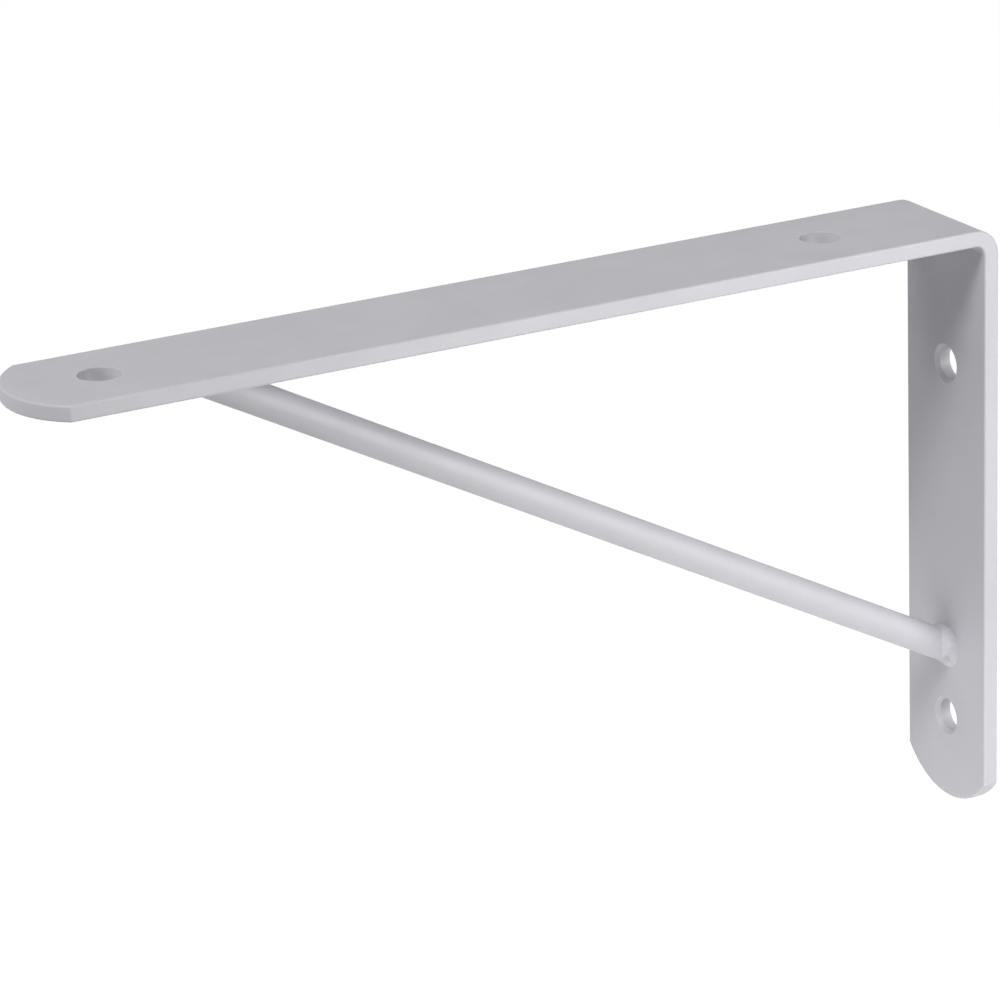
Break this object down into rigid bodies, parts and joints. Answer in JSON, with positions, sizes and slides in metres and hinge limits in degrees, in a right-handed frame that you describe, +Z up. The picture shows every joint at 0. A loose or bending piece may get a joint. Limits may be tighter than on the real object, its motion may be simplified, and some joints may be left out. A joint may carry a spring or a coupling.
{
  "type": "gallows shelf bracket",
  "caption": "Gallows shelf bracket: a flat steel strip folded square into an arm and a leg, braced by a raking round bar welded between them, with four screw holes.",
  "frame": {"origin": "middle of the two wall screw holes, on the face that lies on the wall", "axes": "+X out from the wall along the arm, +Y across the strip's width, +Z up the wall"},
  "size_m": [0.25, 0.035, 0.155],
  "materials": {
    "strip_paint": "satin silver-grey paint on rolled flat steel",
    "bar_paint": "satin silver-grey paint on drawn round steel",
    "weld_paint": "satin silver-grey paint over rippled weld metal"
  },
  "bodies": {
    "root": {"folded_strip": "strip_paint", "brace_bar": "bar_paint", "arm_weld": "weld_paint", "leg_weld": "weld_paint"}
  },
  "joints": []
}
